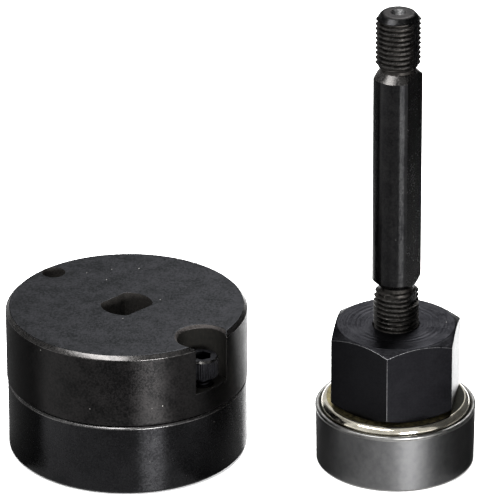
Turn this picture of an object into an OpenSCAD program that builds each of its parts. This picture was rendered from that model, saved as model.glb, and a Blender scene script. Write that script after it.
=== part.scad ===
// Knockout punch unit: a punch and die closed together on the left,
// and on the right its draw stud, screwed into a drive nut that stands on a ball thrust bearing.
// Millimetres, +Z up, origin on the floor at the middle of the whole unit.

/* [Punch and die] */
// Outside diameter of the die
die_d = 50.8; // [50.5:0.1:52]
// Outside diameter of the punch flange
punch_d = 50.4; // [50.2:0.1:50.8]
// Height of the punch flange
punch_h = 16.0; // [15:0.1:18]
// Height of the die
die_h = 16.1; // [15.5:0.1:18]
// Chamfer round the die's top edge
die_chamfer = 0.85; // [0.6:0.05:1.1]
// Broken edge round the foot of the die
die_foot_break = 0.35; // [0.1:0.05:0.5]
// Chamfer round the top and bottom edges of the punch flange
punch_chamfer = 0.7; // [0.3:0.05:0.7]
// Diameter of the hole that the punch cuts
hole_d = 30.8; // [28:0.1:31]
// Radial gap between the punch nose and the die cup
cut_gap = 0.1; // [0.05:0.01:0.2]
// Depth of the cup in the underside of the die
cup_depth = 9.6; // [8:0.1:9.8]
// Room left between the nose points and the cup ceiling
nose_room = 0.8; // [0.5:0.1:2]
// Drop of the sheared cutting edge between its two points
shear_drop = 2.4; // [1:0.1:3]

/* [Cap screw and guide pin] */
// Distance of the screw from the block axis
screw_r = 22.3; // [21.8:0.1:22.3]
// Direction of the screw seen from above, with the pin opposite
screw_angle = -44; // [-90:1:0]
// Diameter of the screw pocket that breaks out of the die's side
pocket_d = 10.4; // [9.5:0.1:10.8]
// Depth of the screw pocket
pocket_depth = 10.9; // [9:0.1:11.5]
// Chamfer round the pocket mouth
pocket_chamfer = 0.6; // [0.4:0.05:1]
// Thread diameter of the cap screw
screw_d = 4.166; // [3.5:0.001:4.2]
// Length of the cap screw under its head
screw_length = 15.9; // [13:0.1:17]
// Diameter of the cap screw head
head_d = 6.86; // [6:0.01:7.2]
// Height of the cap screw head
head_h = 4.17; // [3.5:0.01:4.4]
// Hex socket across its flats
socket_af = 3.572; // [2.5:0.001:3.8]
// Gap under the head, which lets the die lift
head_lift = 2.3; // [1:0.1:3]
// Diameter of the guide pin
pin_d = 4.7625; // [4:0.0001:4.8]
// Depth of the pin's top below the die's top face
pin_below_top = 4.0; // [3:0.1:6]

/* [Draw stud] */
// Distance from the block axis to the stud axis, to the right
stud_dx = 56.4; // [54:0.1:70]
// Distance from the block axis to the stud axis, to the rear
stud_dy = -7.3; // [-8:0.1:8]
// Major diameter of both threads
thread_d = 9.525; // [8:0.001:9.6]
// Diameter of the bar between the threads
bar_d = 10.5; // [10:0.1:10.6]
// Distance across the two milled flats
flats = 7.94; // [7.4:0.01:8.2]
// Direction that the flats face, seen from above
flats_angle = -27; // [-90:1:90]
// Height of the stud's lower end
stud_z = 9.3; // [8:0.1:12]
// Height where the milled flats run out in the lower thread
flats_z = 36.4; // [34:0.1:38]
// Height of the top of the lower thread
low_thread_z = 39.6; // [37:0.1:39.7]
// Height of the lower end of the bar
bar_z = 41.9; // [41.5:0.1:43]
// Height of the upper end of the bar
bar_top_z = 87.5; // [80:0.1:88]
// Height of the bottom of the upper thread
up_thread_z = 89.6; // [89.5:0.1:91]
// Height of the stud's upper end
stud_top_z = 101.6; // [98:0.1:104]
// Diameter of the two neck grooves
neck_d = 7.4; // [6.5:0.1:7.6]
// Mouth of the turning centre in each end
centre_d = 3.2; // [2:0.1:3.4]

/* [Drive nut] */
// Hexagon across its flats
nut_af = 25.4; // [24:0.1:26]
// Height of the nut's seat on the bearing
nut_z = 14.2; // [14:0.1:15]
// Height of the top of the nut
nut_top_z = 31.1; // [30:0.1:33]
// Diameter of the flat round face on top
nut_face_d = 24.6; // [22:0.1:25]
// Diameter of the flat round face underneath
nut_seat_d = 25.2; // [23:0.1:25.3]
// Direction of one corner, seen from above
nut_angle = -98; // [-120:1:-60]
// Diameter of the hub that the upper race is pressed on
hub_d = 17.2; // [15:0.1:17.4]
// Height of the hub's lower end
hub_z = 1.2; // [1:0.1:2]

/* [Thrust bearing] */
// Outside diameter of the band at its foot
band_foot_d = 33.2; // [33:0.1:33.3]
// Outside diameter of the band below its rim
band_top_d = 33.5; // [33.3:0.1:33.6]
// Outside diameter of the rolled rim
rim_d = 33.8; // [33.7:0.1:34]
// Height of the band
band_h = 12.9; // [12:0.1:13.2]
// Thickness of the rolled rim
rim_w = 1.0; // [0.8:0.05:1.1]
// Inner diameter of the lip under the lower race
lip_d = 22.8; // [20:0.1:24]
// Thickness of that lip
lip_h = 1.0; // [0.6:0.1:1.2]
// Outside diameter of the upper race
race_d = 31.3; // [30.8:0.1:31.4]
// Rounding of the upper race's shoulder
race_round = 1.35; // [0.8:0.05:1.6]
// Height of the top of the lower race
low_race_z = 4.9; // [4.5:0.1:5.2]
// Height of the underside of the upper race
up_race_z = 7.9; // [7.6:0.1:8.2]
// Diameter of the balls
ball_d = 4.7625; // [4.4:0.0001:4.8]
// Diameter of the circle that the balls run on
ball_pitch_d = 24.6; // [24.4:0.1:24.8]
// Number of balls
ball_count = 12; // [6:1:13]
// Running gap between the balls and the grooves
ball_gap = 0.07; // [0.03:0.01:0.1]

/* [Hidden] */
$fn = 96;
eps = 1;
die_r = die_d / 2;
punch_r = punch_d / 2;
block_top = punch_h + die_h;
cup_r = hole_d / 2 + cut_gap;
nose_top = punch_h + cup_depth - nose_room;

// The two groups stand so that the unit's box is centred on the origin.
stack_x = -(stud_dx + rim_d / 2 - die_r) / 2;
stud_x = stack_x + stud_dx;

screw_hole_d = screw_d + 0.44;
pocket_floor = block_top - pocket_depth;
head_z = pocket_floor + head_lift;
screw_z = head_z - screw_length;
head_chamfer = 0.4;
socket_depth = 2.0;
pin_hole_d = pin_d + 0.1;
pin_r = punch_r - punch_chamfer - pin_d / 2 - 0.1;
pin_z = 6;
pin_top = block_top - pin_below_top;
pin_chamfer = 0.4;

thread_r = thread_d / 2;
bore_d = thread_d + 0.1;
bore_chamfer = 0.5;
end_chamfer = 1.4;
neck_run = 0.8;
slide_gap = 0.15;
low_neck_z = bar_z - (bar_d - neck_d) / 2;
up_neck_z = bar_top_z + 1.5;
centre_depth = 2.4;

hub_r = hub_d / 2;
nut_h = nut_top_z - nut_z;
corner_r = nut_af / sqrt(3);
chamfer_slope = tan(30);
nut_mouth = 0.15;

rim_r = rim_w / 2;
wall_in_r = rim_d / 2 - rim_w;
foot_round = lip_h / 2;
race_gap = 0.07;
low_race_bore = hub_d + 0.8;
ball_z = (low_race_z + up_race_z) / 2;
groove_r = ball_d / 2 + ball_gap;
cage_h = 1.3;
cage_w = 6.0;
cage_pocket_d = ball_d + 0.24;

BALLS = [for (i = [1:ball_count]) str("ball_", i)];

// A bar or a hole with two flats, facing along its own X.
module double_d(d, across, h) {
    intersection() {
        cylinder(d = d, h = h);
        translate([-across / 2, -d, 0]) cube([across, 2 * d, h]);
    }
}

// A round block whose two edges are chamfered, or left sharp where the chamfer is 0.
module chamfered_disc(r, h, low, high) {
    foot = low > 0 ? [[r - low, 0], [r, low]] : [[r, 0]];
    head = high > 0 ? [[r, h - high], [r - high, h]] : [[r, h]];
    rotate_extrude() polygon(concat([[0, 0]], foot, head, [[0, h]]));
}

// A cone that breaks the edge of a hole whose mouth lies at height 0 and faces up.
module mouth_chamfer(d, c) {
    translate([0, 0, -c]) cylinder(r1 = d / 2, r2 = d / 2 + c + eps, h = c + eps);
}

// The conical turning centre in a stud end that lies at height 0 and faces up.
module turning_centre() {
    tip_r = 0.2;
    slope = (centre_d / 2 - tip_r) / centre_depth;
    translate([0, 0, -centre_depth])
        cylinder(r1 = tip_r, r2 = centre_d / 2 + slope * eps, h = centre_depth + eps);
}

// Places something on the block axis, or on the screw or the pin.
module on_stack() {
    translate([stack_x, 0, 0]) children();
}

module at_screw() {
    rotate(screw_angle) translate([screw_r, 0, 0]) children();
}

module at_pin() {
    rotate(screw_angle + 180) translate([pin_r, 0, 0]) children();
}

module on_stud() {
    translate([stud_x, stud_dy, 0]) children();
}

// The hole for the stud has flats that face the screw and the pin.
module die() {
    color("#3d3d40") on_stack() difference() {
        translate([0, 0, punch_h]) chamfered_disc(die_r, die_h, die_foot_break, die_chamfer);
        translate([0, 0, punch_h - eps]) cylinder(r = cup_r, h = cup_depth + eps);
        rotate(screw_angle) translate([0, 0, punch_h])
            double_d(bar_d + 2 * slide_gap, flats + 2 * slide_gap, die_h + eps);
        at_screw() translate([0, 0, pocket_floor]) cylinder(d = pocket_d, h = pocket_depth + eps);
        at_screw() translate([0, 0, block_top]) mouth_chamfer(pocket_d, pocket_chamfer);
        at_screw() translate([0, 0, punch_h - eps]) cylinder(d = screw_hole_d, h = die_h);
        at_pin() translate([0, 0, punch_h - eps]) cylinder(d = pin_hole_d, h = die_h + 2 * eps);
    }
}

// The nose's end is cut to a shallow valley, which leaves two points that pierce first.
module punch_nose() {
    valley = shear_drop / (hole_d / 2);
    difference() {
        translate([0, 0, punch_h - eps]) cylinder(d = hole_d, h = nose_top - punch_h + eps);
        rotate([90, 0, 0]) linear_extrude(hole_d + 2 * eps, center = true)
            polygon([[0, nose_top - shear_drop], [hole_d, nose_top - shear_drop + valley * hole_d],
                     [-hole_d, nose_top - shear_drop + valley * hole_d]]);
    }
}

module punch() {
    color("#353539") on_stack() difference() {
        union() {
            chamfered_disc(punch_r, punch_h, punch_chamfer, punch_chamfer);
            rotate(screw_angle) punch_nose();
        }
        translate([0, 0, -eps]) cylinder(d = bore_d, h = nose_top + 2 * eps);
        mirror([0, 0, 1]) mouth_chamfer(bore_d, bore_chamfer);
        at_screw() translate([0, 0, screw_z - eps]) cylinder(d = screw_d, h = punch_h);
        at_pin() translate([0, 0, pin_z]) cylinder(d = pin_d, h = punch_h);
    }
}

module guide_pin() {
    color("#6d6e72") on_stack() at_pin() translate([0, 0, pin_z])
        chamfered_disc(pin_d / 2, pin_top - pin_z, pin_chamfer, pin_chamfer);
}

module cap_screw() {
    color("#2d2e34") on_stack() at_screw() difference() {
        union() {
            translate([0, 0, screw_z])
                chamfered_disc(screw_d / 2, screw_length + eps, head_chamfer, 0);
            translate([0, 0, head_z]) chamfered_disc(head_d / 2, head_h, 0, head_chamfer);
        }
        translate([0, 0, head_z + head_h - socket_depth])
            cylinder(d = socket_af / cos(30), h = socket_depth + eps, $fn = 6);
    }
}

module stud_profile() {
    bar_r = bar_d / 2;
    neck_r = neck_d / 2;
    polygon([[0, stud_z], [thread_r - end_chamfer, stud_z], [thread_r, stud_z + end_chamfer],
             [thread_r, low_thread_z - neck_run], [neck_r, low_thread_z], [neck_r, low_neck_z],
             [bar_r, bar_z], [bar_r, bar_top_z], [neck_r, up_neck_z], [neck_r, up_thread_z],
             [thread_r, up_thread_z + neck_run], [thread_r, stud_top_z - end_chamfer],
             [thread_r - end_chamfer, stud_top_z], [0, stud_top_z]]);
}

// The flats run from the upper end down into the lower thread, so that the stud passes the die's hole.
module draw_stud() {
    color("#2b2b2d") on_stud() difference() {
        rotate_extrude() stud_profile();
        for (side = [0, 180]) rotate(flats_angle + side)
            translate([flats / 2, -bar_d, flats_z]) cube([bar_d, 2 * bar_d, stud_top_z]);
        translate([0, 0, stud_top_z]) turning_centre();
        translate([0, 0, stud_z]) mirror([0, 0, 1]) turning_centre();
    }
}

// Both ends of the hexagon are turned to a round face with a 30 degree chamfer.
module nut_envelope() {
    face_r = nut_face_d / 2;
    seat_r = nut_seat_d / 2;
    out_r = corner_r + eps;
    rotate_extrude()
        polygon([[0, 0], [seat_r, 0], [out_r, (out_r - seat_r) * chamfer_slope],
                 [out_r, nut_h - (out_r - face_r) * chamfer_slope], [face_r, nut_h], [0, nut_h]]);
}

module drive_nut() {
    color("#323236") on_stud() difference() {
        union() {
            translate([0, 0, nut_z]) intersection() {
                rotate(nut_angle) cylinder(r = corner_r, h = nut_h, $fn = 6);
                nut_envelope();
            }
            translate([0, 0, hub_z]) chamfered_disc(hub_r, nut_z - hub_z + eps, bore_chamfer, 0);
        }
        translate([0, 0, hub_z - eps]) cylinder(d = bore_d, h = nut_top_z);
        translate([0, 0, nut_top_z]) mouth_chamfer(bore_d, nut_mouth);
        translate([0, 0, hub_z]) mirror([0, 0, 1]) mouth_chamfer(bore_d, bore_chamfer);
    }
}

// Pressed shell with an inward lip below and a rolled rim above.
module bearing_band() {
    foot_r = band_foot_d / 2;
    round_z = band_h - rim_r;
    color("#6b6c70") on_stud() rotate_extrude() {
        polygon([[wall_in_r, lip_h], [wall_in_r, foot_round], [foot_r, foot_round],
                 [band_top_d / 2, round_z], [wall_in_r, round_z]]);
        translate([lip_d / 2, 0]) square([foot_r - foot_round - lip_d / 2, lip_h]);
        translate([foot_r - foot_round, foot_round]) circle(foot_round);
        translate([rim_d / 2 - rim_r, round_z]) circle(rim_r);
    }
}

module upper_race() {
    race_r = race_d / 2;
    shelf = race_r - race_round;
    color("#b9b5a6") on_stud() rotate_extrude() difference() {
        union() {
            translate([hub_r, up_race_z]) square([race_r - hub_r, nut_z - race_round - up_race_z]);
            translate([hub_r, up_race_z]) square([shelf - hub_r, nut_z - up_race_z]);
            translate([shelf, nut_z - race_round]) circle(race_round);
        }
        translate([ball_pitch_d / 2, ball_z]) circle(groove_r);
    }
}

module lower_race() {
    in_r = low_race_bore / 2;
    out_r = wall_in_r - race_gap;
    color("#a9a69b") on_stud() rotate_extrude() difference() {
        polygon([[in_r, lip_h], [out_r - foot_round, lip_h], [out_r, lip_h + foot_round],
                 [out_r, low_race_z], [in_r, low_race_z]]);
        translate([ball_pitch_d / 2, ball_z]) circle(groove_r);
    }
}

module at_ball(i) {
    rotate(360 / ball_count * i) translate([ball_pitch_d / 2, 0, ball_z]) children();
}

module ball_cage() {
    color("#b08d48") on_stud() difference() {
        translate([0, 0, ball_z - cage_h / 2]) rotate_extrude()
            translate([(ball_pitch_d - cage_w) / 2, 0]) square([cage_w, cage_h]);
        for (i = [1:ball_count]) at_ball(i) cylinder(d = cage_pocket_d, h = 2 * cage_h, center = true);
    }
}

module ball(i) {
    color("#c9c9c9") on_stud() at_ball(i) sphere(d = ball_d);
}

die();
punch();
guide_pin();
cap_screw();
draw_stud();
drive_nut();
bearing_band();
upper_race();
lower_race();
ball_cage();
for (i = [1:ball_count]) ball(i);
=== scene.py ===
# %% [markdown]
# # A knockout punch in blackened steel
# A knockout punch cuts a round hole in sheet metal. A draw stud passes through a pilot hole, and a nut pulls
# the punch through the sheet and into the die. Here the closed punch and die stand on the left. On the
# right stands the stud, screwed into its drive nut, on a ball thrust bearing.
# The solids come from the CAD frame. This lesson gives them edges, threads, finishes and light.

# %% Load the frame
import math
import bmesh
import bpy
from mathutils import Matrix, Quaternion, Vector


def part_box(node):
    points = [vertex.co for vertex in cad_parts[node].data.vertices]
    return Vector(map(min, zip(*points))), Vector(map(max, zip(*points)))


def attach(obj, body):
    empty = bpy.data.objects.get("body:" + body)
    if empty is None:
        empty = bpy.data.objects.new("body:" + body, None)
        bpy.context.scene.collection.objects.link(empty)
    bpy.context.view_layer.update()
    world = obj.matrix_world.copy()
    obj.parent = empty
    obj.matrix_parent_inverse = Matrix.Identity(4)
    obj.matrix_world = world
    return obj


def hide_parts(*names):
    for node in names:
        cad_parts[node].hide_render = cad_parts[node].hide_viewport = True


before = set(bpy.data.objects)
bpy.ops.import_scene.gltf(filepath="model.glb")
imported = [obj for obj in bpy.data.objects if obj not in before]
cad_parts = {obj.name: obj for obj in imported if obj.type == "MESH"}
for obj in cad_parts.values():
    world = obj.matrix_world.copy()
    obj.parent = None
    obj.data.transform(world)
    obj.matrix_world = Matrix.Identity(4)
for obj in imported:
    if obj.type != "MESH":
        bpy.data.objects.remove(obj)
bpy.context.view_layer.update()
MM = 0.001
scene = bpy.context.scene


def axis_of(node):
    """The upright axis of a CAD node, as the middle of its box."""
    low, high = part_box(node)
    return (low.x + high.x) / 2, (low.y + high.y) / 2


block_axis = axis_of("punch")
stud_axis = axis_of("bearing_band")
screw_axis = axis_of("cap_screw")

# %% [markdown]
# ## The camera
# A small product is usually shot from far away with a long lens, so that its upright edges stay parallel.
# The camera could be moved by eye. Here its place was found by fitting the outlines of the round blocks,
# the band and the stud, which gives a distance, a height angle and a lens at once. It looks along +Y, and a
# small turn to the left brings both groups into the frame without any lens shift.

# %% Camera
IMAGE_W, IMAGE_H = 482, 500
SENSOR_MM = 36.0
# The lens, and the picture column that the aim falls on, in pixels.
FOCAL_PX = 6061.7
AIM_COLUMN = 298.03
AIM = Vector((12.013, 0.0, 44.553)) * MM
CAMERA_DISTANCE = 1265.5 * MM
CAMERA_ELEVATION = math.radians(25.308)
# The camera draws what lies between these two distances, in metres.
CLIP_NEAR, CLIP_FAR = 0.05, 20.0

camera = bpy.data.objects.new("camera", bpy.data.cameras.new("camera"))
scene.collection.objects.link(camera)
scene.camera = camera
camera.data.sensor_width = SENSOR_MM
camera.data.lens = FOCAL_PX * SENSOR_MM / max(IMAGE_W, IMAGE_H)
camera.data.clip_start, camera.data.clip_end = CLIP_NEAR, CLIP_FAR
back = Vector((0, -math.cos(CAMERA_ELEVATION), math.sin(CAMERA_ELEVATION)))
turn_left = math.atan((AIM_COLUMN - IMAGE_W / 2) / FOCAL_PX)
tilt = Quaternion((1, 0, 0), math.pi / 2 - CAMERA_ELEVATION)
camera.rotation_mode = "QUATERNION"
camera.rotation_quaternion = tilt @ Quaternion((0, 1, 0), turn_left)
camera.location = AIM + back * CAMERA_DISTANCE
print("camera:", round(camera.data.lens), "mm lens, turned", round(math.degrees(turn_left), 2), "degrees")

# %% [markdown]
# ## Colours and nodes
# A colour picked on a screen is an sRGB value, but a renderer adds up light, so it needs linear values. One
# function makes the change. A second one adds a shader node with its settings and its links, so that a
# material reads from top to bottom like a recipe.

# %% Helpers for materials
def linear(colour):
    """Linear RGBA of an sRGB hex colour such as #2a2a2d."""
    parts = [int(colour[i:i + 2], 16) / 255 for i in (1, 3, 5)]
    return (*[c / 12.92 if c <= 0.04045 else ((c + 0.055) / 1.055) ** 2.4 for c in parts], 1.0)


def add(tree, kind, inputs=None, **settings):
    """A new node with its settings, and its inputs set to values or linked to sockets."""
    node = tree.nodes.new(kind)
    for name, value in settings.items():
        setattr(node, name, value)
    for name, value in (inputs or {}).items():
        if isinstance(value, bpy.types.NodeSocket):
            tree.links.new(value, node.inputs[name])
        else:
            node.inputs[name].default_value = value
    return node


def new_material(name):
    """A material with an empty tree, the tree, and its output node."""
    material = bpy.data.materials.new(name)
    material.use_nodes = True
    material.node_tree.nodes.clear()
    return material, material.node_tree, material.node_tree.nodes.new("ShaderNodeOutputMaterial")


print("white is", linear("#ffffff")[0], "and middle grey is", round(linear("#808080")[0], 3))

# %% [markdown]
# ## The white stage
# The tool stands on a white sweep. A sweep could be lit until it burns out, but that much light would also
# grey the black steel. Light Path gives the camera and the reflections a plain white surround instead, while
# the light that falls on the tool stays at an ordinary level.

# %% White surround
AMBIENT = 0.42


def seen_rays(tree):
    """A socket that is 1 for rays from the camera, a reflection or a clear material, and 0 for light."""
    path = add(tree, "ShaderNodeLightPath")
    seen = path.outputs["Is Camera Ray"]
    for ray in ("Is Glossy Ray", "Is Transmission Ray"):
        seen = add(tree, "ShaderNodeMath", {0: seen, 1: path.outputs[ray]}, operation="MAXIMUM").outputs[0]
    return seen


world = bpy.data.worlds.new("white_surround")
scene.world = world
world.use_nodes = True
tree = world.node_tree
tree.nodes.clear()
ambient = add(tree, "ShaderNodeBackground", {"Color": linear("#ffffff"), "Strength": AMBIENT})
surround = add(tree, "ShaderNodeBackground", {"Color": linear("#ffffff"), "Strength": 1.0})
mixed = add(tree, "ShaderNodeMixShader", {0: seen_rays(tree), 1: ambient.outputs[0], 2: surround.outputs[0]})
add(tree, "ShaderNodeOutputWorld", {"Surface": mixed.outputs[0]})
scene.view_settings.view_transform = "Standard"
print("surround: white to the eye, ambient light", AMBIENT)

# %% [markdown]
# The floor is matt paper. A shadow catcher could leave only the shadow, but a reflection has to see paper as
# well. So the floor is a pale diffuse surface with a faint glow that only seen rays meet: it lifts the
# paper to white and still leaves a soft shadow under the tool.

# %% Paper floor
FLOOR_LIFT = 0.30
FLOOR_HALF = 3.0
# The paper lies a hair below the tool, so that their faces don't share a plane.
FLOOR_GAP = 0.02 * MM

paper, tree, output = new_material("white_paper_sweep")
lift = add(tree, "ShaderNodeMath", {0: seen_rays(tree), 1: FLOOR_LIFT}, operation="MULTIPLY")
matt = add(tree, "ShaderNodeBsdfDiffuse", {"Color": linear("#f2f2f2")})
glow = add(tree, "ShaderNodeEmission", {"Color": linear("#ffffff"), "Strength": lift.outputs[0]})
both = add(tree, "ShaderNodeAddShader", {0: matt.outputs[0], 1: glow.outputs[0]})
tree.links.new(both.outputs[0], output.inputs["Surface"])

floor_mesh = bpy.data.meshes.new("floor")
floor_corners = ((-1, -1), (1, -1), (1, 1), (-1, 1))
floor_points = [(x * FLOOR_HALF, y * FLOOR_HALF, -FLOOR_GAP) for x, y in floor_corners]
floor_mesh.from_pydata(floor_points, [], [(0, 1, 2, 3)])
floor = bpy.data.objects.new("floor", floor_mesh)
scene.collection.objects.link(floor)
floor.data.materials.append(paper)
print("floor:", 2 * FLOOR_HALF, "m of paper")

# %% [markdown]
# ## The lights
# Black steel is seen by what it reflects, so each lamp has one job. A long box above and to the left lights
# the chamfers and the level faces. A box low in front, a little to the right, draws the soft upright streak
# on the round walls. A small box lights the paper behind the stud, which the nut's right face mirrors.

# %% Softboxes
# Angles are in degrees, and distances and sizes in metres.
FLOOR_BEHIND = Vector((35, 45, 0)) * MM


def softbox(name, azimuth, elevation, distance, width, height, watts, target=AIM):
    """An area lamp at an angle round a point, where azimuth 0 is the camera's side and 90 is the right."""
    lamp = bpy.data.lights.new(name, "AREA")
    lamp.shape = "RECTANGLE"
    lamp.size, lamp.size_y = width, height
    lamp.energy = watts
    a, e = math.radians(azimuth), math.radians(elevation)
    way = Vector((math.sin(a) * math.cos(e), -math.cos(a) * math.cos(e), math.sin(e)))
    holder = bpy.data.objects.new(name, lamp)
    holder.location = target + way * distance
    holder.rotation_mode = "QUATERNION"
    holder.rotation_quaternion = way.to_track_quat("Z", "Y")
    scene.collection.objects.link(holder)
    print("lamp:", name, watts, "W")


softbox("key_softbox", azimuth=-43, elevation=60, distance=0.70, width=0.50, height=0.16, watts=5.6)
softbox("front_strip", azimuth=20, elevation=2, distance=0.62, width=0.22, height=0.20, watts=9.6)
softbox("back_softbox", azimuth=165, elevation=66, distance=0.38, width=0.16, height=0.16, watts=4.6,
        target=FLOOR_BEHIND)

# %% [markdown]
# A shiny black edge against a white sweep would vanish, because at a low angle even black steel mirrors the
# white. A studio sets dark cards round the tool to keep such edges dark. Here four grey cards lie on the
# sweep and two stand beside the tool, and only reflections see them. The gaps between the cards leave white
# paper for other faces to mirror.

# %% Grey cards
# A lying card has its grey and its outline in millimetres.
LYING_CARDS = {
    "card_left": ("#4c4c4c", [(-300, -20), (-46, -20), (-46, 300), (-300, 300)]),
    "card_between": ("#6a6a6a", [(0.4, -6.1), (-7.5, -20.5), (-4, -49.9), (20, -49.9), (20, -22), (17.5, -16),
                                 (15.5, -7), (16.5, 0.5), (52, 12), (25.3, 40.7)]),
    "card_right": ("#404040", [(42, -26.5), (75, -50), (400, -200), (400, 400), (120, 100), (75, 30),
                               (56, 12), (52, 12), (50.5, -6), (46, -21)]),
    "card_front": ("#9a9a9a", [(-120, -43), (-4, -43), (-4, -85), (120, -85), (120, -300), (-120, -300)]),
}
# A standing card has its grey, the two ends of its foot, and the heights of its lower and upper edge.
STANDING_CARDS = {
    "card_upright_left": ("#686868", (-190, -30), (-100, 170), 50, 260),
    "card_upright_right": ("#404040", (180, -90), (100, 160), 0, 380),
}


def grey_card(name, grey, corners):
    """A matt card with its corners in millimetres, which only reflections see."""
    card_paper, tree, output = new_material(name)
    matt = add(tree, "ShaderNodeBsdfDiffuse", {"Color": linear(grey)})
    tree.links.new(matt.outputs[0], output.inputs["Surface"])
    card_mesh = bpy.data.meshes.new(name)
    card_mesh.from_pydata([Vector(corner) * MM for corner in corners], [], [range(len(corners))])
    card = bpy.data.objects.new(name, card_mesh)
    card.data.materials.append(card_paper)
    scene.collection.objects.link(card)
    card.visible_camera = card.visible_diffuse = card.visible_shadow = card.visible_transmission = False


for name, (grey, outline) in LYING_CARDS.items():
    grey_card(name, grey, [(x, y, 0) for x, y in outline])
for name, (grey, near, far, low, high) in STANDING_CARDS.items():
    grey_card(name, grey, [(*near, low), (*far, low), (*far, high), (*near, high)])
print("cards:", len(LYING_CARDS), "lying and", len(STANDING_CARDS), "standing")

# %% [markdown]
# ## Black oxide
# The punch, die, nut, screw and stud are machined from tool steel and then boiled in a salt bath. The bath
# turns the skin to black magnetite, about a micrometre thick, and oil fills its pores. A black paint would be
# matt and even. Black oxide is dark metal instead: it mirrors softly, mottles where the oil is uneven and
# rubs off first along the edges. So this is a metal with a very dark colour. Walls, faces and edges could
# share one material with a mask, but each was cut by another tool and is worn in its own way, so each has
# its own settings of one recipe.

# %% Black oxide recipe
# Patches of oil are a few millimetres across.
MOTTLE_MM = 4.0
# The real grain is under 0.1 mm, finer than a pixel, so it is drawn coarser to show at all.
GRAIN_MM = 0.45
MOTTLE_SHARE = 0.7
# Both patterns average a half, and this is the middle of the two together.
EVEN = (1 + MOTTLE_SHARE) / 2
# How far the pattern swings from its middle to the end of the colours, and to the end of wear and roughness.
SHADE_SWING, WEAR_SWING = 0.16, 0.2
# The best-kept spots still have this share of the wear.
LEAST_WEAR = 0.4
BARE_STEEL = "#9a9a9b"
# Some cells hold a speck of dust. Real dust is mostly finer and wouldn't show, so a speck is drawn large.
SPECK_CELL_MM = 3.0
SPECK_MM = 0.14
SPECK_SHARE = 0.4
SPECK_CORE = 0.4
DUST_COVER = 0.5
DUST = "#b9b6b0"
# A facing tool leaves rings about 0.2 mm apart. They are drawn coarser to show, and higher than the grain.
RING_MM = 0.6
RING_RISE = 8.0
GRIT_STRENGTH = 0.35
GRIT_HEIGHT = 0.03 * MM
# Tool marks run round the axis and spread a highlight across themselves, a quarter turn away.
QUARTER_TURN = 0.25


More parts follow.
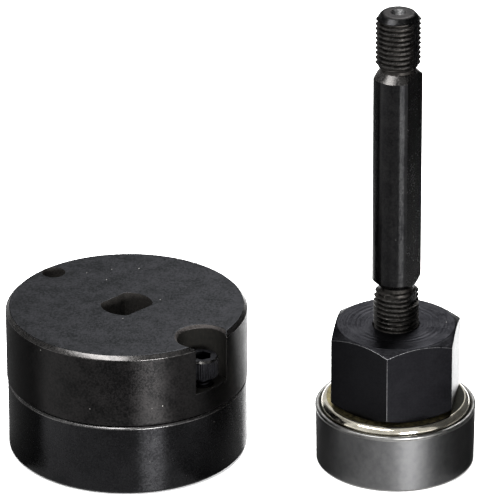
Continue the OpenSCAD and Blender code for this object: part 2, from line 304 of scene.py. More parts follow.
def black_oxide(name, dark, light, roughness, wear=0.0, specks=1.0, tint="#e0e0e0", turned=0.0, uneven=0.08,
                grit=1.0, ring_axis=None):
    """Blackened steel between two colours: wear shows bare steel, specks is dust, tint is the colour seen at
    low angles, turned draws the highlights out across the tool marks, uneven lets the smoothness wander, grit
    is the bump, and ring_axis is the middle of a faced end's rings."""
    material, tree, output = new_material(name)
    place = add(tree, "ShaderNodeTexCoord").outputs["Object"]
    mottle = add(tree, "ShaderNodeTexNoise", {"Vector": place, "Scale": 1 / (MOTTLE_MM * MM),
                                              "Detail": 5.0, "Roughness": 0.62})
    grain = add(tree, "ShaderNodeTexNoise", {"Vector": place, "Scale": 1 / (GRAIN_MM * MM),
                                             "Detail": 3.0, "Roughness": 0.6}).outputs["Fac"]
    blend = add(tree, "ShaderNodeMath", {0: mottle.outputs["Fac"], 1: MOTTLE_SHARE, 2: grain},
                operation="MULTIPLY_ADD").outputs[0]
    shade = add(tree, "ShaderNodeMapRange", {"Value": blend, "From Min": EVEN - SHADE_SWING,
                                             "From Max": EVEN + SHADE_SWING})
    skin = add(tree, "ShaderNodeMix", {"Factor": shade.outputs[0], "A": linear(dark), "B": linear(light)},
               data_type="RGBA")

    rubbed = add(tree, "ShaderNodeMapRange", {"Value": blend, "From Min": EVEN - WEAR_SWING,
                                              "From Max": EVEN + WEAR_SWING,
                                              "To Min": LEAST_WEAR * wear, "To Max": wear})
    worn = add(tree, "ShaderNodeMix", {"Factor": rubbed.outputs[0], "A": skin.outputs["Result"],
                                       "B": linear(BARE_STEEL)}, data_type="RGBA")

    cells = add(tree, "ShaderNodeTexVoronoi", {"Vector": place, "Scale": 1 / (SPECK_CELL_MM * MM)})
    speck_edge = SPECK_MM / SPECK_CELL_MM
    speck = add(tree, "ShaderNodeMapRange", {"Value": cells.outputs["Distance"], "From Min": speck_edge,
                                             "From Max": speck_edge * SPECK_CORE,
                                             "To Max": specks * DUST_COVER})
    some = add(tree, "ShaderNodeMath", {0: cells.outputs["Color"], 1: 1 - SPECK_SHARE},
               operation="GREATER_THAN")
    dust = add(tree, "ShaderNodeMath", {0: speck.outputs[0], 1: some.outputs[0]}, operation="MULTIPLY")
    dusty = add(tree, "ShaderNodeMix", {"Factor": dust.outputs[0], "A": worn.outputs["Result"],
                                        "B": linear(DUST)}, data_type="RGBA")

    rough = add(tree, "ShaderNodeMapRange", {"Value": blend, "From Min": EVEN - WEAR_SWING,
                                             "From Max": EVEN + WEAR_SWING,
                                             "To Min": roughness - uneven, "To Max": roughness + uneven})
    height = grain
    if ring_axis:
        moved = add(tree, "ShaderNodeVectorMath", {0: place, 1: (*ring_axis, 0.0)}, operation="SUBTRACT")
        level = add(tree, "ShaderNodeVectorMath", {0: moved.outputs[0], 1: (1, 1, 0)}, operation="MULTIPLY")
        radius = add(tree, "ShaderNodeVectorMath", {0: level.outputs[0]}, operation="LENGTH")
        ring = add(tree, "ShaderNodeTexNoise", {"W": radius.outputs["Value"], "Scale": 1 / (RING_MM * MM),
                                                "Detail": 2.0}, noise_dimensions="1D")
        height = add(tree, "ShaderNodeMath", {0: ring.outputs["Fac"], 1: RING_RISE, 2: grain},
                     operation="MULTIPLY_ADD").outputs[0]
    bump = add(tree, "ShaderNodeBump", {"Strength": GRIT_STRENGTH * grit, "Distance": GRIT_HEIGHT,
                                        "Height": height})
    around = add(tree, "ShaderNodeTangent", direction_type="RADIAL", axis="Z")
    metal = add(tree, "ShaderNodeBsdfPrincipled", {
        "Base Color": dusty.outputs["Result"], "Metallic": 1.0, "Roughness": rough.outputs[0],
        "Specular Tint": linear(tint), "Anisotropic": turned, "Anisotropic Rotation": QUARTER_TURN,
        "Tangent": around.outputs[0], "Normal": bump.outputs[0]})
    tree.links.new(metal.outputs[0], output.inputs["Surface"])
    print("finish:", name)
    return material


# %% [markdown]
# ## Plain steel, brass, grease and painted shade
# What isn't blackened is pressed and tumbled sheet, hardened and ground steel, stamped brass, grease, and the
# painted shade and sheen in the holes. A single colour with one roughness would look like plastic. In each of
# these the colour and the smoothness wander together over one pattern of a real size, so one recipe does for
# all, and the painted shade and sheen in the holes are the same recipe without the metal.

# %% Plain finish recipe
# Noise stays mostly between these two values.
PATTERN_LOW, PATTERN_HIGH = 0.3, 0.7
PATTERN_STRENGTH = 0.25
# Painted shade darkens what lies past a given x, fading in over this width.
PAINTED_SHADE_TONE = "#33373d"
PAINTED_SHADE_FADE = 3.0 * MM


def plain_finish(name, dark, light, rough_low, rough_high, pattern_mm, stretch=(1, 1, 1), depth_mm=0.004,
                 turned=0.0, tint="#ffffff", metallic=1.0, shine=0.5, shade_from_x=None):
    """A finish whose colour and smoothness wander between two values over a pattern of a real size: stretch
    squeezes the pattern along an axis, depth_mm is its bump, turned and tint are as in black oxide, shine is
    how much a finish that isn't metal mirrors, and shade_from_x is the x where painted shade starts."""
    material, tree, output = new_material(name)
    place = add(tree, "ShaderNodeTexCoord").outputs["Object"]
    scaled = add(tree, "ShaderNodeVectorMath", {0: place, 1: stretch}, operation="MULTIPLY")
    pattern = add(tree, "ShaderNodeTexNoise", {"Vector": scaled.outputs[0], "Scale": 1 / (pattern_mm * MM),
                                               "Detail": 5.0, "Roughness": 0.6}).outputs["Fac"]
    spread = add(tree, "ShaderNodeMapRange", {"Value": pattern, "From Min": PATTERN_LOW,
                                              "From Max": PATTERN_HIGH}).outputs[0]
    colour = add(tree, "ShaderNodeMix", {"Factor": spread, "A": linear(dark), "B": linear(light)},
                 data_type="RGBA").outputs["Result"]
    # Painted shade: past a given x, the colour is multiplied by a dark grey.
    if shade_from_x is not None:
        across = add(tree, "ShaderNodeSeparateXYZ", {"Vector": place})
        painted_shade_ramp = add(tree, "ShaderNodeMapRange", {"Value": across.outputs["X"], "From Min": shade_from_x,
                                                "From Max": shade_from_x + PAINTED_SHADE_FADE})
        colour = add(tree, "ShaderNodeMix", {"Factor": painted_shade_ramp.outputs[0], "A": colour, "B": linear(PAINTED_SHADE_TONE)},
                     data_type="RGBA", blend_type="MULTIPLY").outputs["Result"]
    rough = add(tree, "ShaderNodeMapRange", {"Value": spread, "To Min": rough_low, "To Max": rough_high})
    bump = add(tree, "ShaderNodeBump", {"Strength": PATTERN_STRENGTH, "Distance": depth_mm * MM,
                                        "Height": pattern})
    around = add(tree, "ShaderNodeTangent", direction_type="RADIAL", axis="Z")
    skin = add(tree, "ShaderNodeBsdfPrincipled", {
        "Base Color": colour, "Metallic": metallic, "Specular IOR Level": shine,
        "Roughness": rough.outputs[0],
        "Specular Tint": linear(tint), "Anisotropic": turned, "Anisotropic Rotation": QUARTER_TURN,
        "Tangent": around.outputs[0], "Normal": bump.outputs[0]})
    tree.links.new(skin.outputs[0], output.inputs["Surface"])
    print("finish:", name)
    return material


# %% [markdown]
# ## Broken edges
# No machined edge is perfectly sharp: a deburring wheel leaves a round of a tenth of a millimetre or two,
# and that round is what draws the thin light line along a chamfer. The CAD solids have sharp edges. A bevel
# node in the shader could fake the line, but it leaves the outline sharp. So a copy of each mesh is cleaned
# of its extra triangles and its sharp edges are bevelled, and the copy stands in for the solid.

# %% Edge-broken copies
# An edge that turns more than the first angle is broken, and one that turns less than the second is removed.
SHARP = math.radians(25)
COPLANAR = math.radians(0.3)
# Points this close are joined.
WELD = 0.0005 * MM
BROKEN = 0.14 * MM
# The most weight that normals can give to large faces, where 50 is neutral.
LARGE_FACE_WEIGHT = 100
# The material numbers of a machined block, in the order of its finishes.
WALL, FACE, EDGE, POCKET, INNER_EDGE, HOLE = range(6)


def dress(piece, body, slot, *finishes):
    """Puts a piece on its body with its finishes, in the order of its material numbers."""
    for finish in finishes:
        piece.data.materials.append(finish)
    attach(piece, body)


def sort_faces(piece, rule):
    """Gives each face the material number that a rule finds for it."""
    for face in piece.data.polygons:
        face.material_index = rule(face)
    return piece


def broken_edges(node, name):
    """A copy of a CAD node whose sharp edges have a small round."""
    mesh = bmesh.new()
    mesh.from_mesh(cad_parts[node].data)
    bmesh.ops.remove_doubles(mesh, verts=mesh.verts, dist=WELD)
    bmesh.ops.dissolve_limit(mesh, angle_limit=COPLANAR, verts=mesh.verts, edges=mesh.edges)
    sharp = [e for e in mesh.edges if len(e.link_faces) == 2 and e.calc_face_angle() > SHARP]
    bmesh.ops.bevel(mesh, geom=sharp, offset=BROKEN, offset_type="OFFSET", segments=2, profile=0.5,
                    affect="EDGES", clamp_overlap=True, loop_slide=True, material=EDGE)
    for face in mesh.faces:
        face.smooth = True
    data = bpy.data.meshes.new(name)
    mesh.to_mesh(data)
    mesh.free()
    piece = bpy.data.objects.new(name, data)
    scene.collection.objects.link(piece)
    normals = piece.modifiers.new("flat_faces_stay_flat", "WEIGHTED_NORMAL")
    normals.weight = LARGE_FACE_WEIGHT
    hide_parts(node)
    print(name, "has", len(sharp), "softened edges and", len(data.polygons), "faces")
    return piece


# %% [markdown]
# ## The punch and the die
# Both blocks are turned from bar, and the die is then drilled and milled for the screw, the pin and the stud.
# The lathe leaves fine marks round the walls, which draw a highlight out into an upright streak. The top was
# faced and has a dull sheen. Chamfers are rubbed in use. The holes have dull finishes that aren't metal:
# painted shade in the pocket and a painted sheen in the other holes. A face's finish could be painted on by
# hand, but here a rule finds it from the face's place and lean.

# %% Finishes of the blocks
# Turned oxide under oil: a wide soft streak on a dark wall.
die_wall = black_oxide("black_oxide_die_wall", "#121212", "#201f1f", 0.39, turned=0.89)
# Faced oxide: a cool grey sheen with cloudy patches.
die_face = black_oxide("black_oxide_die_face", "#151617", "#1f1f21", 0.47, tint="#c6c6c6", uneven=0.10)
# Rubbed oxide: a smooth chamfer with a little steel showing, so it flashes where a lamp meets it.
die_edge = black_oxide("rubbed_oxide_die_edge", "#1b1a19", "#2c2927", 0.22, wear=0.12, tint="#e8e8e8",
                       uneven=0.05, grit=0.3)
# The punch was turned finer and wiped cleaner: a narrower, brighter streak.
punch_wall = black_oxide("black_oxide_punch_wall", "#161617", "#1d1d1e", 0.27, specks=0.6, turned=0.97,
                         uneven=0.04, grit=0.25)
# Faced oxide on the punch's level faces: a dull dark grey.
punch_face = black_oxide("black_oxide_punch_face", "#151517", "#1f1f21", 0.44, tint="#c6c6c6")
# Rubbed oxide with more steel showing: a light line along the punch's edge.
punch_edge = black_oxide("rubbed_oxide_punch_edge", "#1b1a19", "#2c2927", 0.23, wear=0.23, tint="#d0d0d0",
                         uneven=0.05, grit=0.3)
# Dust dulls the edge of the pocket to a brownish grey.
pocket_edge = black_oxide("dusty_oxide_pocket_edge", "#2b2928", "#3b3837", 0.58, specks=0.0, tint="#e8e8e8",
                          grit=0.3)
# Painted shade lines the pocket: a nearly black colour, almost without shine, for the shade in the recess.
pocket_shade_finish = plain_finish("painted_shade_in_pocket", "#0c0c0b", "#141311", 0.75, 0.90, 0.8, metallic=0.0,
                             shine=0.05)
# Painted sheen in the other holes: dull, a little lighter and smoother than the pocket, for their
# reflections.
hole_sheen_finish = plain_finish("painted_sheen_in_holes", "#1d1c1b", "#2a2826", 0.50, 0.62, 0.8, metallic=0.0,
                           shine=0.10)

# %% Punch and die
# The upward part of a normal: between the first two the face is an edge, and above the last it is level.
EDGE_LEAN_LOW, EDGE_LEAN_HIGH, LEVEL = 0.1, 0.8, 0.95
# The pocket's floor lies between these heights, and the outer wall beyond this radius.
POCKET_LOW, POCKET_HIGH = 18.0 * MM, 30.0 * MM
OUTSIDE_R = 24.6 * MM
# What lies further than this toward the screw is the pocket, and no other hole.
POCKET_FROM = 10.0 * MM
toward_screw = (Vector(screw_axis) - Vector(block_axis)).normalized()


def block_rule(face):
    """The outer wall, the end faces, the outer edges, the pocket, the edges of openings, or the holes."""
    reach = Vector(face.center[:2]) - Vector(block_axis)
    outside = reach.length > OUTSIDE_R and reach.dot(Vector(face.normal[:2])) > 0
    if EDGE_LEAN_LOW < face.normal.z < EDGE_LEAN_HIGH:
        return EDGE if outside else INNER_EDGE
    if face.normal.z > LEVEL and POCKET_LOW < face.center.z < POCKET_HIGH:
        return POCKET
    if abs(face.normal.z) >= EDGE_LEAN_HIGH:
        return FACE
    if outside:
        return WALL
    return POCKET if reach.dot(toward_screw) > POCKET_FROM else HOLE


die_block = sort_faces(broken_edges("die", "die_block"), block_rule)
dress(die_block, "die", "die_steel", die_wall, die_face, die_edge, pocket_shade_finish, pocket_edge, hole_sheen_finish)
punch_block = sort_faces(broken_edges("punch", "punch_block"), block_rule)
dress(punch_block, "base", "punch_steel", punch_wall, punch_face, punch_edge, pocket_shade_finish, pocket_edge,
      hole_sheen_finish)

# %% [markdown]
# ## The drive nut
# The nut is sawn from hexagon bar, bored, and faced on a lathe, which also turns the 30 degree chamfer. Its
# sides keep the smooth skin of drawn bar. Its top has the rings of the facing tool. They could be modelled,
# but they are a hundredth of a millimetre deep, so a bump round the axis is true enough.

# %% Drive nut
# Drawn bar with oxide: smooth flat sides, nearly black until they face a lamp.
nut_side = black_oxide("black_oxide_nut_side", "#111113", "#161618", 0.34, specks=0.5, tint="#f4f4f4",
                       uneven=0.04)
# Faced oxide: rings round the stud.
nut_face = black_oxide("black_oxide_nut_face", "#141416", "#1f1f21", 0.42, specks=0.5, tint="#b4b4b4",
                       ring_axis=stud_axis)
# Rubbed oxide: a spanner polishes the corners to a thin pale line.
nut_edge = black_oxide("rubbed_oxide_nut_edge", "#242426", "#3a3a3c", 0.30, wear=0.30, tint="#ffffff",
                       grit=0.3)
# A normal's upward part: a broken edge shows between the first two, and turned faces lie above the last.
NUT_EDGE_LOW, NUT_EDGE_HIGH, NUT_TURNED = -0.2, 0.8, 0.3


def nut_rule(face):
    """Broken edges that show, turned faces and chamfers, or the flat sides."""
    if face.material_index == EDGE and NUT_EDGE_LOW < face.normal.z < NUT_EDGE_HIGH:
        return EDGE
    return FACE if face.normal.z > NUT_TURNED else WALL


hex_nut = sort_faces(broken_edges("drive_nut", "hex_nut"), nut_rule)
dress(hex_nut, "nut", "nut_steel", nut_side, nut_face, nut_edge)

# %% [markdown]
# ## Turned pieces
# The stud, the screw, the band and the race are round about one axis. Each could be spun from an outline by a
# screw modifier, but a thread climbs as it goes round, and flats, knurls and sockets change from column to
# column. So the mesh is a grid of columns round the axis, in millimetres. In a thread each row climbs one
# pitch in a turn, so crest and root stay crisp, and the last column joins the row one turn further up.

# %% Turned pieces with helical threads
# Rows of one thread turn, as shares of the pitch: the root's two ends, and two at each edge of the crest.
THREAD_PHASES = (0.125, 0.40, 0.46, 0.54, 0.60, 0.875)
# The common 60 degree thread, in pitches: its depth, the middle of its crest, and how far from there the flat
# crest ends and the root starts.
THREAD_DEPTH = 0.6134
CREST_MIDDLE = 0.5
CREST_HALF = 1 / 16
ROOT_START = 3 / 8
# A thread starts and ends outside its stretch, and the spare turns are pressed flat at its ends.
SPARE_TURNS = 2
CREASE = math.radians(28)


class Turning:
    """Rows of points round an upright axis, from the lower end to the upper, that become one closed mesh."""

    def __init__(self, axis, angles, cut=None):
        self.axis, self.angles, self.cut = axis, angles, cut
        self.rows, self.seam = [], []

    def ring(self, radius, z):
        """One level row; radius is a number, or one for each column."""
        radii = radius if isinstance(radius, list) else [radius] * len(self.angles)
        self.seam.append(len(self.rows))
        self.rows.append([(r, z) for r in radii])

    def cone(self, low_r, low_z, high_r, high_z, rings):
        """Rings along a cone, enough of them for a flat to cut it cleanly."""
        for i in range(rings):
            share = i / (rings - 1)
            self.ring(low_r + (high_r - low_r) * share, low_z + (high_z - low_z) * share)

    def arc(self, centre_r, centre_z, radius, start, end, steps):
        """Rings along an arc of a section, with its angles in degrees from the outward direction."""
        for i in range(steps + 1):
            a = math.radians(start + (end - start) * i / steps)
            self.ring(centre_r + radius * math.cos(a), centre_z + radius * math.sin(a))

    def thread(self, low, high, pitch, crest, envelope):
        """Rows that climb with a right-hand thread between two heights, held inside an envelope."""
        first = len(self.rows)
        step = len(THREAD_PHASES)
        turns = math.ceil((high - low) / pitch) + SPARE_TURNS
        last = first + turns * step - 1
        share = [(a - self.angles[0]) / (2 * math.pi) for a in self.angles]
        for k in range(turns * step):
            turn, phase = k // step, THREAD_PHASES[k % step]
            off = abs(phase - CREST_MIDDLE)
            drop = min(max((off - CREST_HALF) / (ROOT_START - CREST_HALF), 0), 1)
            tooth = crest - drop * THREAD_DEPTH * pitch
            row = []
            for s in share:
                z = min(max(low + pitch * (turn + phase + s - SPARE_TURNS), low), high)
                row.append((min(tooth, envelope(z)), z))
            self.seam.append(min(first + k + step, last))
            self.rows.append(row)

    def close(self):
        """Joins the last row to the first, for a ring-shaped piece."""
        self.rows.append(self.rows[0])
        self.seam.append(len(self.rows) - 1)

    def points(self):
        """The rows as points in metres, pulled in to the cut."""
        for row in self.rows:
            for angle, (r, z) in zip(self.angles, row):
                r = min(r, self.cut(angle, z)) if self.cut else r
                x, y = r * math.cos(angle) * MM, r * math.sin(angle) * MM
                yield self.axis[0] + x, self.axis[1] + y, z * MM

    def faces(self):
        """Four-sided faces between each row and the next."""
        n = len(self.angles)
        for i in range(len(self.rows) - 1):
            for j in range(n):
                low, high = (i, i + 1) if j + 1 < n else (self.seam[i], self.seam[i + 1])
                k = (j + 1) % n
                yield i * n + j, low * n + k, high * n + k, (i + 1) * n + j

    def build(self, name):
        """The mesh object, with doubled points joined and smooth shading up to a crease."""
        data = bpy.data.meshes.new(name)
        data.from_pydata(list(self.points()), [], list(self.faces()))
        mesh = bmesh.new()
        mesh.from_mesh(data)
        bmesh.ops.remove_doubles(mesh, verts=mesh.verts, dist=WELD)
        bmesh.ops.dissolve_degenerate(mesh, edges=mesh.edges, dist=WELD)
        bmesh.ops.recalc_face_normals(mesh, faces=mesh.faces)
        for face in mesh.faces:
            face.smooth = True
        mesh.to_mesh(data)
        mesh.free()
        data.set_sharp_from_angle(angle=CREASE)
        piece = bpy.data.objects.new(name, data)
        scene.collection.objects.link(piece)
        print(name, "has", len(data.polygons), "faces")
        return piece


# %% [markdown]
# ## The draw stud
# The stud is turned from bar, threaded at both ends with a die and milled on two sides so that it can't turn
# in the die's hole. Its bar has a crisp shine, its threads hold oil, its upper cone and its crests are
# rubbed, and the upper end is worn round. A thread could be a bump map, but its teeth show on the outline, so
# it is modelled. The flats are cut by pulling every point that lies outside them in to the flat.

# %% Finishes of the stud
# Turned and wiped oxide: a crisp upright stripe on black.
stud_bar = black_oxide("black_oxide_stud_bar", "#141415", "#202020", 0.21, specks=0.4, turned=1.0,
                       uneven=0.04, grit=0.25)
# Oily oxide in the threads: brownish, with uneven glints.
stud_thread = black_oxide("black_oxide_stud_thread", "#1e1d1c", "#302e2c", 0.40, uneven=0.14, grit=2.0)
# Milled oxide: a flat that goes from light to dark as one piece.
stud_flat = black_oxide("black_oxide_stud_flat", "#151516", "#1f1f1f", 0.24, specks=0.4, tint="#d6d6d6",
                        uneven=0.04, grit=0.15)
# Rubbed oxide: bright glints on the upper cone and the crests.
stud_rubbed = black_oxide("rubbed_oxide_stud", "#1e1d1c", "#302e2c", 0.24, wear=0.07, tint="#ffffff")
# Worn oxide: the lathe's centre rubbed this small hole nearly bare, so it gleams.
stud_centre = black_oxide("worn_oxide_centre_hole", "#2a2a2a", "#4a4a49", 0.26, wear=0.55, specks=0.0)
# Faced oxide on the end: a dull dark grey.
stud_end = black_oxide("black_oxide_stud_end", "#161616", "#1f1e1e", 0.46, specks=0.4, tint="#b4b4b4")

# %% Sizes of the stud
# Lengths are in millimetres, and heights count from the floor.
INCH = 25.4
PITCH = INCH / 24
THREAD_R = 4.7625
BAR_R, NECK_R = 5.25, 3.7
HALF_FLATS = 3.97
FLATS_ANGLE = math.radians(-27)
FLATS_FROM = 36.4
STUD_LOW, STUD_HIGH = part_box("draw_stud")[0].z / MM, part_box("draw_stud")[1].z / MM
LOW_THREAD_TOP, LOW_NECK_TOP, BAR_LOW = 39.6, 40.35, 41.9
BAR_HIGH, UP_NECK_LOW, UP_THREAD_LOW = 87.5, 89.0, 89.6
# The ends have a chamfer at this angle in degrees, and a thread runs out into its neck over a short length.
CHAMFER_ANGLE = 45
END_CHAMFER, NECK_RUN = 1.4, 0.8
END_R = THREAD_R - END_CHAMFER
CENTRE_R, CENTRE_DEPTH, CENTRE_TIP = 1.6, 2.4, 0.2
# The upper end's worn edge has this radius, is drawn in this many steps, and runs this far along the end.
END_ROUND, END_STEPS = 0.9, 5
END_RUN = END_ROUND * math.tan(math.radians(CHAMFER_ANGLE / 2))
# The upper thread stops where the round meets the chamfer.
THREAD_END = STUD_HIGH - END_RUN * math.sin(math.radians(CHAMFER_ANGLE))
FLAT_COLUMNS, ROUND_COLUMNS = 36, 44
CONE_RINGS = 9
# A ring close to an edge keeps the long faces beyond it from being shaded as if they were bent.
HOLD = 0.1
# A column that leans less than this toward a flat never meets it.
LEAST_LEAN = 0.01


def flat_limit(angle, z):
    """How far from the axis the milled flats let a point lie."""
    lean = abs(math.cos(angle - FLATS_ANGLE))
    return HALF_FLATS / lean if z > FLATS_FROM and lean > LEAST_LEAN else BAR_R


half_flat = math.acos(HALF_FLATS / BAR_R)
stud_angles = []
for side in (0, math.pi):
    start, middle = FLATS_ANGLE + side - half_flat, FLATS_ANGLE + side + half_flat
    stud_angles += [start + 2 * half_flat * i / FLAT_COLUMNS for i in range(FLAT_COLUMNS)]
    stud_angles += [middle + (math.pi - 2 * half_flat) * i / ROUND_COLUMNS for i in range(ROUND_COLUMNS)]
print("stud:", len(stud_angles), "columns, flats", round(math.degrees(2 * half_flat), 1), "degrees wide")

# %% Draw stud
BAR, THREAD, FLAT, RUBBED, CENTRE, END = range(6)
# A face that looks this straight along the flats' direction is a flat, and one this level is the end.
FLAT_FACING, END_LEAN = 0.999, 0.72
# The outermost part of the thread that is rubbed.
CREST_RUB = 0.12


def low_envelope(z):
    """The lower thread's limit: the end's chamfer, and the run-out into the neck."""
    return min(END_R + z - STUD_LOW, NECK_R + (LOW_THREAD_TOP - z) * (THREAD_R - NECK_R) / NECK_RUN)


def high_envelope(z):
    """The upper thread's limit: the run-out into the neck, and the end's chamfer."""
    return min(NECK_R + (z - UP_THREAD_LOW) * (THREAD_R - NECK_R) / NECK_RUN, END_R + STUD_HIGH - z)


def stud_rule(face):
    """A flat, the upper end or its chamfer, the bar, a centre hole, a rubbed cone or crest, or a thread."""
    z = face.center.z / MM
    reach = math.hypot(face.center.x - stud_axis[0], face.center.y - stud_axis[1]) / MM
    facing = abs(face.normal.x * math.cos(FLATS_ANGLE) + face.normal.y * math.sin(FLATS_ANGLE))
    if facing > FLAT_FACING:
        return FLAT
    if z > STUD_HIGH - END_CHAMFER and reach > CENTRE_R:
        return END if face.normal.z > END_LEAN else FLAT
    if LOW_NECK_TOP < z < BAR_HIGH:
        return BAR
    if reach < CENTRE_R:
        return CENTRE
    return RUBBED if reach > THREAD_R - CREST_RUB or BAR_HIGH < z < UP_NECK_LOW else THREAD


stud = Turning(stud_axis, stud_angles, flat_limit)
for r, z in ((0, CENTRE_DEPTH), (CENTRE_TIP, CENTRE_DEPTH), (CENTRE_R, 0), (END_R, 0)):
    stud.ring(r, STUD_LOW + z)
stud.thread(STUD_LOW, LOW_THREAD_TOP, PITCH, THREAD_R, low_envelope)
stud.cone(NECK_R, LOW_NECK_TOP, BAR_R, BAR_LOW, CONE_RINGS)
stud.ring(BAR_R, BAR_LOW + HOLD)
stud.ring(BAR_R, BAR_HIGH - HOLD)
stud.cone(BAR_R, BAR_HIGH, NECK_R, UP_NECK_LOW, CONE_RINGS)
stud.thread(UP_THREAD_LOW, THREAD_END, PITCH, THREAD_R, high_envelope)
stud.arc(END_R - END_RUN, STUD_HIGH - END_ROUND, END_ROUND, CHAMFER_ANGLE, 90, END_STEPS)
for r, z in ((END_R - END_RUN - HOLD, 0), (CENTRE_R, 0), (CENTRE_TIP, CENTRE_DEPTH), (0, CENTRE_DEPTH)):
    stud.ring(r, STUD_HIGH - z)
threaded_stud = sort_faces(stud.build("threaded_stud"), stud_rule)
dress(threaded_stud, "stud", "stud_steel", stud_bar, stud_thread, stud_flat, stud_rubbed, stud_centre,
      stud_end)
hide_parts("draw_stud")

# %% [markdown]
# ## The socket cap screw
# The screw that holds the die to the punch is a bought part with a knurled head and a hex socket. The head's
# knurl is rolled, with about forty fine grooves. It could be painted on, but it sits in the light of the
# pocket, so the columns of the mesh go in and out instead. The socket is the same grid drawn to a hexagon.

# %% Cap screw
# Oxide on a rolled and forged part: smooth, black and evenly shiny.
screw_finish = black_oxide("black_oxide_screw", "#131315", "#1a1a1c", 0.34, specks=0.3, grit=0.2)
SCREW_PITCH = INCH / 32
SCREW_R, HEAD_R = 2.083, 3.43
HEAD_LOW, HEAD_CHAMFER = 23.5, 0.4
SCREW_POINT = 2 * HEAD_CHAMFER
SCREW_LOW, SCREW_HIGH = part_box("cap_screw")[0].z / MM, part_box("cap_screw")[1].z / MM
SOCKET_HALF, SOCKET_DEPTH = 1.786, 2.0
# Half of a groove's columns stand out and half lie in, and the knurl stops short of both ends of the head.
KNURL_GROOVES, KNURL_COLUMNS, KNURL_DEPTH = 42, 4, 0.12
KNURL_LAND = 0.5
# A face of the head is its chamfer when it leans up more than this and isn't level.
CHAMFER_LEAN = 0.3

columns = KNURL_GROOVES * KNURL_COLUMNS
screw_angles = [2 * math.pi * i / columns for i in range(columns)]
knurl = [HEAD_R - (KNURL_DEPTH if i % KNURL_COLUMNS >= KNURL_COLUMNS // 2 else 0) for i in range(columns)]
sixth = math.pi / 3
socket = [SOCKET_HALF / math.cos((a + sixth / 2) % sixth - sixth / 2) for a in screw_angles]

screw = Turning(screw_axis, screw_angles)
screw.ring(0, SCREW_LOW)
screw.ring(SCREW_R - SCREW_POINT, SCREW_LOW)
screw.thread(SCREW_LOW, HEAD_LOW, SCREW_PITCH, SCREW_R,
             lambda z: min(SCREW_R - SCREW_POINT + z - SCREW_LOW, SCREW_R))
screw.ring(SCREW_R, HEAD_LOW)
screw.ring(HEAD_R - KNURL_DEPTH, HEAD_LOW)
screw.ring(knurl, HEAD_LOW + KNURL_LAND / 2)
screw.ring(knurl, SCREW_HIGH - HEAD_CHAMFER - KNURL_LAND)
screw.ring(HEAD_R - KNURL_DEPTH / 2, SCREW_HIGH - HEAD_CHAMFER)
screw.ring(HEAD_R - HEAD_CHAMFER, SCREW_HIGH)
screw.ring(socket, SCREW_HIGH)
screw.ring(socket, SCREW_HIGH - SOCKET_DEPTH)
screw.ring(0, SCREW_HIGH - SOCKET_DEPTH)
socket_screw = sort_faces(screw.build("socket_screw"), lambda face: int(CHAMFER_LEAN < face.normal.z < LEVEL))
dress(socket_screw, "base", "screw_steel", screw_finish, stud_rubbed)
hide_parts("cap_screw")

# %% [markdown]
# ## The bearing's band
# The band is a shell pressed from sheet and tumbled to a satin grey, and its rim was rolled over to keep the
# bearing together. The CAD mesh could be smoothed, but on a shiny round wall every facet shows in the
# streak, so the band is turned again from its section with fine arcs, on the sizes of the CAD solid.

# %% Bearing band
# Tumbled steel: satin grey with a broad streak, and fine cloudy patches about a millimetre across.
band_finish = plain_finish("satin_gunmetal_band", "#474748", "#535353", 0.50, 0.58, 1.1, (1, 1, 0.8),
                           turned=0.75, tint="#b0b0b0")
# Rolled and rubbed steel: a lighter rim with a soft line of light.
rim_finish = plain_finish("rubbed_steel_rim", "#5a5a59", "#747371", 0.27, 0.36, 1.2, depth_mm=0.001)
BAND_FOOT_R, BAND_TOP_R, RIM_OUT_R = 16.6, 16.75, 16.9
BAND_H, RIM_R, WALL_IN_R = 12.9, 0.5, 15.9
LIP_R, LIP_H = 11.4, 1.0
FOOT_ROUND = LIP_H / 2
RIM_FOOT = BAND_H - 2 * RIM_R
ARC_STEPS = 12
FINE_COLUMNS = 192
fine_angles = [2 * math.pi * i / FINE_COLUMNS for i in range(FINE_COLUMNS)]

band = Turning(stud_axis, fine_angles)
band.ring(WALL_IN_R, LIP_H)
band.ring(LIP_R, LIP_H)
band.ring(LIP_R, 0)
band.arc(BAND_FOOT_R - FOOT_ROUND, FOOT_ROUND, FOOT_ROUND, -90, 0, ARC_STEPS)
band.ring(BAND_TOP_R, RIM_FOOT)
band.arc(RIM_OUT_R - RIM_R, BAND_H - RIM_R, RIM_R, -45, 180, ARC_STEPS)
band.close()
band_shell = sort_faces(band.build("band_shell"),
                        lambda face: int(not FOOT_ROUND < face.center.z / MM < RIM_FOOT))
dress(band_shell, "base", "band_steel", band_finish, rim_finish)
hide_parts("bearing_band")

# %% [markdown]
# ## The upper race
# The race that shows between the band and the nut is hardened, ground and polished like a mirror, with a
# round shoulder. Its level top, where a cloth doesn't reach, holds brown grease, and its right side is
# darkened with painted shade. The grease could be a modelled film, but it is thinner than a hair, so it is a
# finish of the top's own faces. The groove for the balls is part of the section.

# %% Upper race
# Polished steel with a film of oil: a warm mirror that breaks the white surround into bands.
race_finish = plain_finish("polished_race_steel", "#a19c8f", "#c4bfb2", 0.09, 0.18, 2.5, depth_mm=0.001)
# Where the painted shade starts, to the right of the axis.
RACE_SHADE_FROM = 9 * MM
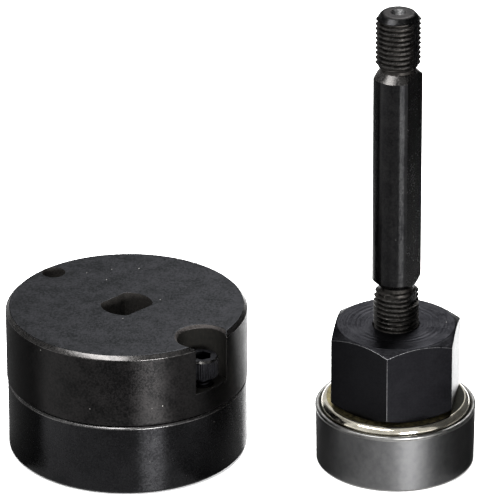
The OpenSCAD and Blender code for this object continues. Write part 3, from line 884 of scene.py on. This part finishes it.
# Grease on steel: mottled yellow brown, half dull, patches about half a millimetre; painted shade on its
# right.
grease_and_shade_finish = plain_finish("greased_race_steel_and_painted_shade", "#221f16", "#6b6347", 0.36, 0.54, 0.6, tint="#dadada",
                             shade_from_x=stud_axis[0] + RACE_SHADE_FROM)
RACE_R, RACE_ROUND, RACE_LOW, RACE_HIGH = 15.65, 1.35, 7.9, 14.2
HUB_R = 8.6
GROOVE_R, GROOVE_Z, BALL_CIRCLE_R = 2.45125, 6.4, 12.3
# A face whose normal points up more than this is the level top.
GREASED = 0.995

race = Turning(stud_axis, fine_angles)
groove_half = math.degrees(math.asin((RACE_LOW - GROOVE_Z) / GROOVE_R))
race.arc(BALL_CIRCLE_R, GROOVE_Z, GROOVE_R, 180 - groove_half, groove_half, ARC_STEPS)
race.ring(RACE_R, RACE_LOW)
race.arc(RACE_R - RACE_ROUND, RACE_HIGH - RACE_ROUND, RACE_ROUND, 0, 90, ARC_STEPS)
race.ring(HUB_R, RACE_HIGH)
race.ring(HUB_R, RACE_LOW)
race.close()
polished_race = sort_faces(race.build("polished_race"), lambda face: int(face.normal.z > GREASED))
dress(polished_race, "nut", "race_steel", race_finish, grease_and_shade_finish)
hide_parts("upper_race")

# %% [markdown]
# ## Pieces inside
# The guide pin shows at the bottom of its hole. The lower race, the cage and the balls are closed in by the
# band. They could be left plain, but the part may be taken apart one day, so each CAD solid keeps its shape
# and gets a finish of its own.

# %% Finishes on the inner solids
# Ground steel: a grey pin with a soft shine.
pin_finish = plain_finish("ground_pin_steel", "#5c5d5c", "#757674", 0.25, 0.36, 0.4)
# Ground steel: a race that is bright but not polished.
hidden_race_finish = plain_finish("ground_race_steel", "#9d9a90", "#bcb9b0", 0.18, 0.28, 1.0)
# Stamped brass: yellow, with the dull bloom of handling.
cage_finish = plain_finish("stamped_brass_cage", "#9c7a35", "#c4a052", 0.28, 0.42, 0.8)
# Lapped steel: clear mirrors.
ball_finish = plain_finish("polished_ball_steel", "#c2c2c2", "#d4d4d4", 0.04, 0.08, 2.0)

inner = {"guide_pin": pin_finish, "lower_race": hidden_race_finish, "ball_cage": cage_finish}
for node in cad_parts:
    if node.startswith("ball_") and node != "ball_cage":
        inner[node] = ball_finish
for node, finish in inner.items():
    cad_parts[node].data.materials.clear()
    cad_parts[node].data.materials.append(finish)
print("inner solids:", len(inner))
